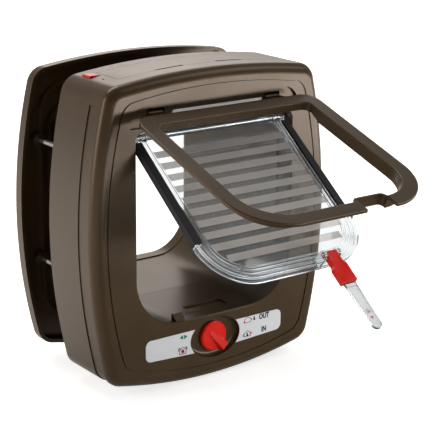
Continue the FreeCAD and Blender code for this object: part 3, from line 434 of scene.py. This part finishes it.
def makePointerPrint(s):
    red = bmesh.new()
    x, half, middle, arrow = s["x"], s["half"], s["house"], s["arrow"]
    strokes(red, house(x, middle, half, s["tall"]), s["line"], s["face"], s["ink"], True)
    prism(red, roundMark(x, middle - s["dotLow"], s["dot"], s["dot"]), s["face"], s["ink"])
    prism(red, [(x - half, arrow + s["arrowUp"]), (x, arrow - s["arrowDown"]),
                (x + half, arrow + s["arrowUp"])], s["face"], s["ink"])
    for v in red.verts:
        v.co = turned(flapRest, v.co)
    mesh = meshFrom("pointerPrint", red)
    addPiece("pointerPrint", mesh, finish["printRed"], "pointer")


makePointerPrint(pointerPrint)
print("pointer marks made")


# helpers for geometry nodes
def geometryTree(name, values, material):
    # gives the tree, its named inputs and the socket that takes the finished geometry
    tree = bpy.data.node_groups.new(name, "GeometryNodeTree")
    face = tree.interface
    face.new_socket("Geometry", in_out="INPUT", socket_type="NodeSocketGeometry")
    for key, value in values.items():
        kind = "NodeSocketInt" if isinstance(value, int) else "NodeSocketFloat"
        face.new_socket(key, in_out="INPUT", socket_type=kind).default_value = value
    face.new_socket("Geometry", in_out="OUTPUT", socket_type="NodeSocketGeometry")
    given = addNode(tree, "NodeGroupInput").outputs
    realize = addNode(tree, "GeometryNodeRealizeInstances")
    paint = addNode(tree, "GeometryNodeSetMaterial", {
        "Geometry": realize.outputs[0], "Material": material})
    addNode(tree, "NodeGroupOutput", {0: paint.outputs[0]})
    return tree, given, realize.inputs[0]


def runTree(name, tree, values):
    # evaluates a tree on an empty mesh and gives the plain mesh
    holder = bpy.data.objects.new(name, bpy.data.meshes.new(name + "Seed"))
    bpy.context.scene.collection.objects.link(holder)
    modifier = holder.modifiers.new(name, "NODES")
    modifier.node_group = tree
    for item in tree.interface.items_tree:
        if item.item_type == "SOCKET" and item.in_out == "INPUT" and item.name in values:
            modifier[item.identifier] = values[item.name]
    depsgraph = bpy.context.evaluated_depsgraph_get()
    mesh = bpy.data.meshes.new_from_object(holder.evaluated_get(depsgraph))
    mesh.name = name
    holder.modifiers.remove(modifier)
    bpy.data.objects.remove(holder)
    return mesh


# frosted bands across the clear flap, in mm from the rod of the closed flap
frostBands = {"Count": 10, "Start": 19.4, "Pitch": 11.2, "Band": 6.2, "Half Width": 61.6,
              "Corner": 28.0, "Lower Edge": 131.4, "Thickness": 0.10, "Face": -1.0}


def makeFrostTree(s, material):
    tree, given, last = geometryTree("frostBands", s, material)

    def calc(operation, *terms):
        return maths(tree, operation, *terms)

    halfThick = calc("MULTIPLY", given["Thickness"], 0.5)
    firstBand = addNode(tree, "ShaderNodeCombineXYZ", {
        "Y": calc("SUBTRACT", given["Face"], halfThick),
        "Z": calc("MULTIPLY", given["Start"], -1.0)})
    step = addNode(tree, "ShaderNodeCombineXYZ", {"Z": calc("MULTIPLY", given["Pitch"], -1.0)})
    line = addNode(tree, "GeometryNodeMeshLine", {
        "Count": given["Count"], "Start Location": firstBand.outputs[0], "Offset": step.outputs[0]})
    # a band is as wide as the flap's rounded corner leaves it at its lower edge
    place = addNode(tree, "GeometryNodeInputPosition").outputs[0]
    height = addNode(tree, "ShaderNodeSeparateXYZ", {0: place}).outputs["Z"]
    lowEdge = calc("ADD", calc("MULTIPLY", height, -1.0), calc("MULTIPLY", given["Band"], 0.5))
    cornerStart = calc("SUBTRACT", given["Lower Edge"], given["Corner"])
    intoCorner = calc("MAXIMUM", calc("SUBTRACT", lowEdge, cornerStart), 0.0)
    squares = calc("SUBTRACT", calc("MULTIPLY", given["Corner"], given["Corner"]),
                   calc("MULTIPLY", intoCorner, intoCorner))
    pulledIn = calc("SUBTRACT", given["Corner"], calc("SQRT", calc("MAXIMUM", squares, 0.0)))
    half = calc("SUBTRACT", given["Half Width"], pulledIn)
    size = addNode(tree, "ShaderNodeCombineXYZ", {
        "X": calc("MULTIPLY", half, 2.0), "Y": given["Thickness"], "Z": given["Band"]})
    block = addNode(tree, "GeometryNodeMeshCube", {
        "Vertices X": 2, "Vertices Y": 2, "Vertices Z": 2})
    spread = addNode(tree, "GeometryNodeInstanceOnPoints", {
        "Points": line.outputs["Mesh"], "Instance": block.outputs["Mesh"],
        "Scale": size.outputs[0]})
    tree.links.new(spread.outputs[0], last)
    return tree


bandMesh = runTree("frostBands", makeFrostTree(frostBands, finish["frost"]), frostBands)
for vertex in bandMesh.vertices:
    x, y, z = vertex.co
    place = turned(flapRest, (x, y + flapRest["axisY"], z + flapRest["axisZ"]))
    vertex.co = Vector(place) * mm
addPiece("frostBands", bandMesh, finish["frost"], "flap")
print("frosted bands made")


# rolled thread on the four long screws, where they cross the door's thickness
screwThread = {"Turns": 44.0, "Steps": 16, "Shank Radius": 1.8, "Ridge": 0.17, "Ridge Sides": 4,
               "From": 4.0, "Length": 36.0, "Across": 183.0, "Upright": 98.9, "Middle": 4.35}


def makeThreadTree(s, material):
    tree, given, last = geometryTree("screwThread", s, material)
    spiral = addNode(tree, "GeometryNodeCurveSpiral", {
        "Resolution": given["Steps"], "Rotations": given["Turns"],
        "Start Radius": given["Shank Radius"], "End Radius": given["Shank Radius"],
        "Height": given["Length"]})
    ridge = addNode(tree, "GeometryNodeCurvePrimitiveCircle", {
        "Resolution": given["Ridge Sides"], "Radius": given["Ridge"]})
    sweep = addNode(tree, "GeometryNodeCurveToMesh", {
        "Curve": spiral.outputs[0], "Profile Curve": ridge.outputs[0], "Fill Caps": True})
    start = addNode(tree, "ShaderNodeCombineXYZ", {"Y": given["From"]})
    lay = addNode(tree, "GeometryNodeTransform", {
        "Geometry": sweep.outputs[0], "Rotation": (-math.pi / 2, 0, 0),
        "Translation": start.outputs[0]})
    corners = addNode(tree, "GeometryNodeMeshGrid", {
        "Vertices X": 2, "Vertices Y": 2, "Size X": given["Across"], "Size Y": given["Upright"]})
    height = addNode(tree, "ShaderNodeCombineXYZ", {"Z": given["Middle"]})
    stand = addNode(tree, "GeometryNodeTransform", {
        "Geometry": corners.outputs["Mesh"], "Rotation": (math.pi / 2, 0, 0),
        "Translation": height.outputs[0]})
    spread = addNode(tree, "GeometryNodeInstanceOnPoints", {
        "Points": stand.outputs[0], "Instance": lay.outputs[0]})
    tree.links.new(spread.outputs[0], last)
    return tree


threadMesh = runTree("screwThread", makeThreadTree(screwThread, finish["steel"]), screwThread)
threadMesh.transform(Matrix.Scale(mm, 4))
addPiece("screwThread", threadMesh, finish["steel"], "housing")
print("screw threads made")


# floor and world, in metres: white where they are seen directly or through the clear
# pieces, and in gloss darker in front of the object, as in a studio
floorSettings = {"drop": 0.0005, "size": 14.0, "color": 0.86, "roughness": 0.9, "gloss": 0.1,
                 "glow": 0.7, "darkMiddle": (0.15, -0.4, 0.0), "darkTo": 0.2, "brightFrom": 0.75,
                 "whiteFrom": 2.2, "glossNear": 0.05}
worldSettings = {"frontAt": -0.5, "backAt": 0.6, "front": 0.1, "back": 0.6,
                 "riseFrom": 0.25, "riseTo": 0.9, "top": 0.6}
white = (1, 1, 1, 1)


def seenDirectly(tree, rays):
    return maths(tree, "MAXIMUM", rays["Is Camera Ray"], rays["Is Transmission Ray"])


def paintFloor(s):
    mat, tree, shader = newMaterial("studioFloor")
    rays = addNode(tree, "ShaderNodeLightPath").outputs
    place = addNode(tree, "ShaderNodeTexCoord").outputs["Object"]
    away = addNode(tree, "ShaderNodeVectorMath", {0: place, 1: s["darkMiddle"]},
                   operation="DISTANCE").outputs["Value"]
    ramp = addNode(tree, "ShaderNodeMapRange", {
        "Value": away, "From Min": s["darkTo"], "From Max": s["brightFrom"],
        "To Min": s["glossNear"]}, interpolation_type="SMOOTHSTEP").outputs["Result"]
    level = addNode(tree, "ShaderNodeMix", {
        "Factor": rays["Is Glossy Ray"], "A": 1.0, "B": ramp}, data_type="FLOAT")
    paint = addNode(tree, "ShaderNodeVectorMath", {
        0: (s["color"],) * 3, "Scale": level.outputs["Result"]}, operation="SCALE")
    # the glow is full far out and leaves a shadow near the object
    outward = addNode(tree, "ShaderNodeMapRange", {
        "Value": away, "From Min": s["brightFrom"], "From Max": s["whiteFrom"],
        "To Min": s["glow"]}).outputs["Result"]
    direct = maths(tree, "MULTIPLY", seenDirectly(tree, rays), outward)
    inGloss = maths(tree, "MULTIPLY", maths(tree, "MULTIPLY", rays["Is Glossy Ray"], ramp),
                    s["glow"])
    feed(tree, shader, {
        "Base Color": paint.outputs[0], "Roughness": s["roughness"],
        "Specular IOR Level": s["gloss"], "Emission Color": white,
        "Emission Strength": maths(tree, "MAXIMUM", direct, inGloss)})
    return mat


def makeFloor(s):
    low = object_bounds()[0].z - s["drop"]
    half = s["size"] / 2
    corners = [(-half, -half, low), (half, -half, low), (half, half, low), (-half, half, low)]
    mesh = bpy.data.meshes.new("studioFloor")
    mesh.from_pydata(corners, [], [(0, 1, 2, 3)])
    floor = bpy.data.objects.new("studioFloor", mesh)
    bpy.context.scene.collection.objects.link(floor)
    mesh.materials.append(paintFloor(s))
    floor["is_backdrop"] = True


def makeWorld(s):
    world = bpy.data.worlds.new("studioWorld")
    world.use_nodes = True
    tree = world.node_tree
    way = addNode(tree, "ShaderNodeTexCoord").outputs["Generated"]
    parts = addNode(tree, "ShaderNodeSeparateXYZ", {0: way}).outputs
    depth = addNode(tree, "ShaderNodeMapRange", {
        "Value": parts["Y"], "From Min": s["frontAt"], "From Max": s["backAt"],
        "To Min": s["front"], "To Max": s["back"]}).outputs["Result"]
    rise = addNode(tree, "ShaderNodeMapRange", {
        "Value": parts["Z"], "From Min": s["riseFrom"], "From Max": s["riseTo"],
        "To Min": 1.0, "To Max": s["top"]}).outputs["Result"]
    rays = addNode(tree, "ShaderNodeLightPath").outputs
    strength = addNode(tree, "ShaderNodeMix", {
        "Factor": seenDirectly(tree, rays), "A": maths(tree, "MULTIPLY", depth, rise), "B": 1.0},
        data_type="FLOAT")
    feed(tree, tree.nodes["Background"], {
        "Color": white, "Strength": strength.outputs["Result"]})
    bpy.context.scene.world = world


makeFloor(floorSettings)
makeWorld(worldSettings)
print("floor and world made")


# lamps: places and sizes in metres, power in watts
lampTints = {"neutral": (1.0, 0.98, 0.96), "warm": (1.0, 0.90, 0.81)}
lamps = {
    "keyRight": {"place": (1.3, -0.9, 1.5), "target": (0, 0, 0), "size": (0.9, 0.9),
                 "power": 6.5, "tint": "neutral"},
    "backRight": {"place": (0.95, 1.25, 0.75), "target": (0, 0, 0), "size": (1.0, 0.8),
                  "power": 4.0, "tint": "warm"},
    "topBack": {"place": (0.0, 0.9, 1.7), "target": (0, 0, 0), "size": (1.4, 0.6),
                "power": 17.0, "tint": "warm"},
    "sideLeft": {"place": (-1.6, 0.4, 0.5), "target": (0, 0, 0), "size": (0.5, 1.2),
                 "power": 12.0, "tint": "warm"},
    "lowFront": {"place": (0.45, -0.68, -0.06), "target": (0, -0.06, 0.08), "size": (0.9, 0.12),
                 "power": 4.2, "tint": "neutral"}}


def areaLamp(name, s):
    data = bpy.data.lights.new(name, "AREA")
    data.shape = "RECTANGLE"
    data.size, data.size_y = s["size"]
    data.energy = s["power"]
    data.color = lampTints[s["tint"]]
    lamp = bpy.data.objects.new(name, data)
    bpy.context.scene.collection.objects.link(lamp)
    lamp.location = s["place"]
    aim = Vector(s["target"]) - Vector(s["place"])
    lamp.rotation_euler = aim.to_track_quat("-Z", "Y").to_euler()


for name, settings in lamps.items():
    areaLamp(name, settings)
print("lamps made")

bpy.context.scene.view_settings.view_transform = "Standard"
